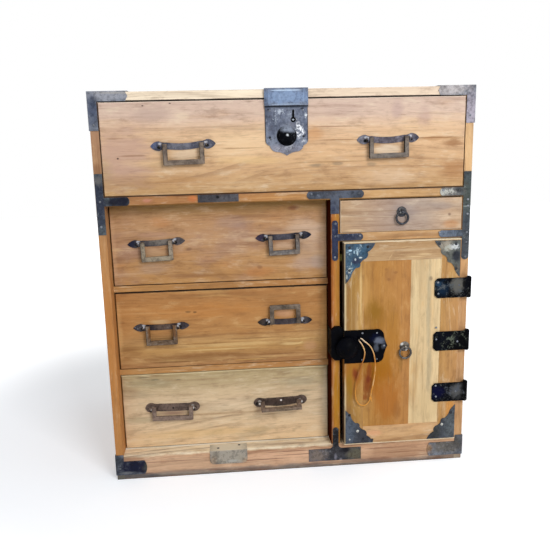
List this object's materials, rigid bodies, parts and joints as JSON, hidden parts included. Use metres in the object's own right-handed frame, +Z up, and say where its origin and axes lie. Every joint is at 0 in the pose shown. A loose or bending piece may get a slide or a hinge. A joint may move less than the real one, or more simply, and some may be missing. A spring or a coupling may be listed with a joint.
{
  "type": "sea chest with drawers",
  "caption": "Wooden merchant's sea chest with iron mounts, a wide locking drawer on top, recessed drawers and a small hinged cupboard below.",
  "frame": {"origin": "centre of the case's underside, midway between its sides and between its front edges and its back", "axes": "+X to the right seen from the front, +Y from the front to the back, +Z up"},
  "size_m": [0.6616, 0.4096, 0.679],
  "materials": {
    "case_wood": "aged, worn, unvarnished",
    "base_wood": "aged, worn, unvarnished",
    "top_drawer_wood": "aged, worn, unvarnished",
    "upper_drawer_wood": "aged, worn, unvarnished",
    "middle_drawer_wood": "aged, worn, unvarnished",
    "lower_drawer_wood": "aged, worn, unvarnished",
    "small_drawer_wood": "aged, worn, unvarnished",
    "door_wood": "aged, worn, unvarnished",
    "inner_wood": "aged, worn, unvarnished",
    "iron": "blackened sheet and forged iron, scuffed",
    "rusty_iron": "forged iron with brown rust",
    "string": "twisted cotton string"
  },
  "bodies": {
    "case": {"side_left": "case_wood", "side_right": "case_wood", "top_board": "case_wood", "base_rail": "base_wood", "floor_boards": "inner_wood", "back_boards": "inner_wood", "mid_shelf": "case_wood", "small_shelf": "case_wood", "divider": "case_wood", "column_rails": "inner_wood", "drawer_runners": "inner_wood", "door_stop": "inner_wood", "corner_irons": "iron", "side_irons": "iron", "divider_irons": "iron", "strap_irons": "iron", "door_lock_keeper": "iron", "carry_handle_irons": "iron", "hinge_case_leaves": "iron", "hinge_pins": "iron"},
    "carry_bail_left": {"carry_bail_left": "iron"},
    "carry_bail_right": {"carry_bail_right": "iron"},
    "door": {"door_stiles": "door_wood", "door_rails": "door_wood", "door_panel": "door_wood", "door_corner_irons": "iron", "hinge_door_leaves": "iron", "door_lock_plate": "iron", "door_lock_boss": "iron", "door_rose": "iron", "string_loop": "string", "string_knot": "string"},
    "door_ring": {"door_ring": "iron"},
    "drawer_top": {"drawer_top_front": "top_drawer_wood", "drawer_top_box": "inner_wood", "drawer_top_handle_irons": "iron", "drawer_top_lock_plate": "iron", "drawer_top_lock_boss": "iron"},
    "drawer_small": {"drawer_small_front": "small_drawer_wood", "drawer_small_box": "inner_wood", "drawer_small_rose": "iron"},
    "drawer_small_ring": {"drawer_small_ring": "iron"},
    "drawer_upper": {"drawer_upper_front": "upper_drawer_wood", "drawer_upper_box": "inner_wood", "drawer_upper_handle_irons": "iron"},
    "drawer_middle": {"drawer_middle_front": "middle_drawer_wood", "drawer_middle_box": "inner_wood", "drawer_middle_handle_irons": "iron"},
    "drawer_lower": {"drawer_lower_front": "lower_drawer_wood", "drawer_lower_box": "inner_wood", "drawer_lower_handle_irons": "rusty_iron"},
    "drawer_top_bail_left": {"drawer_top_bail_left": "iron"},
    "drawer_top_bail_right": {"drawer_top_bail_right": "iron"},
    "drawer_upper_bail_left": {"drawer_upper_bail_left": "iron"},
    "drawer_upper_bail_right": {"drawer_upper_bail_right": "iron"},
    "drawer_middle_bail_left": {"drawer_middle_bail_left": "iron"},
    "drawer_middle_bail_right": {"drawer_middle_bail_right": "iron"},
    "drawer_lower_bail_left": {"drawer_lower_bail_left": "rusty_iron"},
    "drawer_lower_bail_right": {"drawer_lower_bail_right": "rusty_iron"}
  },
  "joints": [
    {"name": "drawer_top_slide", "type": "slide", "parent": "case", "child": "drawer_top", "axis": [0, -1, 0], "range_m": [0, 0.28]},
    {"name": "drawer_small_slide", "type": "slide", "parent": "case", "child": "drawer_small", "axis": [0, -1, 0], "range_m": [0, 0.28]},
    {"name": "drawer_upper_slide", "type": "slide", "parent": "case", "child": "drawer_upper", "axis": [0, -1, 0], "range_m": [0, 0.26]},
    {"name": "drawer_middle_slide", "type": "slide", "parent": "case", "child": "drawer_middle", "axis": [0, -1, 0], "range_m": [0, 0.26]},
    {"name": "drawer_lower_slide", "type": "slide", "parent": "case", "child": "drawer_lower", "axis": [0, -1, 0], "range_m": [0, 0.26]},
    {"name": "door_hinge", "type": "hinge", "parent": "case", "child": "door", "pos_m": [0.3187, -0.1971, 0.2361], "axis": [0, 0, 1], "range_deg": [0, 170]},
    {"name": "drawer_top_bail_left_pivot", "type": "hinge", "parent": "drawer_top", "child": "drawer_top_bail_left", "pos_m": [-0.171, -0.1986, 0.5915], "axis": [-0.9997, 0, -0.0244], "range_deg": [0, 184]},
    {"name": "drawer_top_bail_right_pivot", "type": "hinge", "parent": "drawer_top", "child": "drawer_top_bail_right", "pos_m": [0.171, -0.1986, 0.5939], "axis": [-0.9998, 0, -0.0175], "range_deg": [0, 184]},
    {"name": "drawer_upper_bail_left_pivot", "type": "hinge", "parent": "drawer_upper", "child": "drawer_upper_bail_left", "pos_m": [-0.227, -0.1676, 0.42673], "axis": [-0.9993, 0, -0.0384], "range_deg": [0, 184]},
    {"name": "drawer_upper_bail_right_pivot", "type": "hinge", "parent": "drawer_upper", "child": "drawer_upper_bail_right", "pos_m": [-0.006, -0.1676, 0.42973], "axis": [-0.9994, 0, -0.0349], "range_deg": [0, 184]},
    {"name": "drawer_middle_bail_left_pivot", "type": "hinge", "parent": "drawer_middle", "child": "drawer_middle_bail_left", "pos_m": [-0.227, -0.1676, 0.27537], "axis": [-1, 0, -0.0087], "range_deg": [0, 184]},
    {"name": "drawer_middle_bail_right_pivot", "type": "hinge", "parent": "drawer_middle", "child": "drawer_middle_bail_right", "pos_m": [-0.006, -0.1676, 0.27537], "axis": [-1, 0, -0.0052], "range_deg": [-184, 0]},
    {"name": "drawer_lower_bail_left_pivot", "type": "hinge", "parent": "drawer_lower", "child": "drawer_lower_bail_left", "pos_m": [-0.2153, -0.1676, 0.122], "axis": [-0.9998, 0, 0.0209], "range_deg": [0, 184]},
    {"name": "drawer_lower_bail_right_pivot", "type": "hinge", "parent": "drawer_lower", "child": "drawer_lower_bail_right", "pos_m": [-0.0177, -0.1676, 0.1224], "axis": [-0.9998, 0, -0.0209], "range_deg": [-75, 109]},
    {"name": "carry_bail_left_pivot", "type": "hinge", "parent": "case", "child": "carry_bail_left", "pos_m": [-0.3266, 0, 0.56], "axis": [0, 1, 0], "range_deg": [0, 184]},
    {"name": "carry_bail_right_pivot", "type": "hinge", "parent": "case", "child": "carry_bail_right", "pos_m": [0.3266, 0, 0.56], "axis": [0, -1, 0], "range_deg": [0, 184]},
    {"name": "door_ring_pivot", "type": "hinge", "parent": "door", "child": "door_ring", "pos_m": [0.204, -0.2048, 0.2295], "axis": [-1, 0, 0], "range_deg": [0, 170]},
    {"name": "drawer_small_ring_pivot", "type": "hinge", "parent": "drawer_small", "child": "drawer_small_ring", "pos_m": [0.197, -0.1956, 0.47], "axis": [-1, 0, 0], "range_deg": [0, 170]}
  ]
}
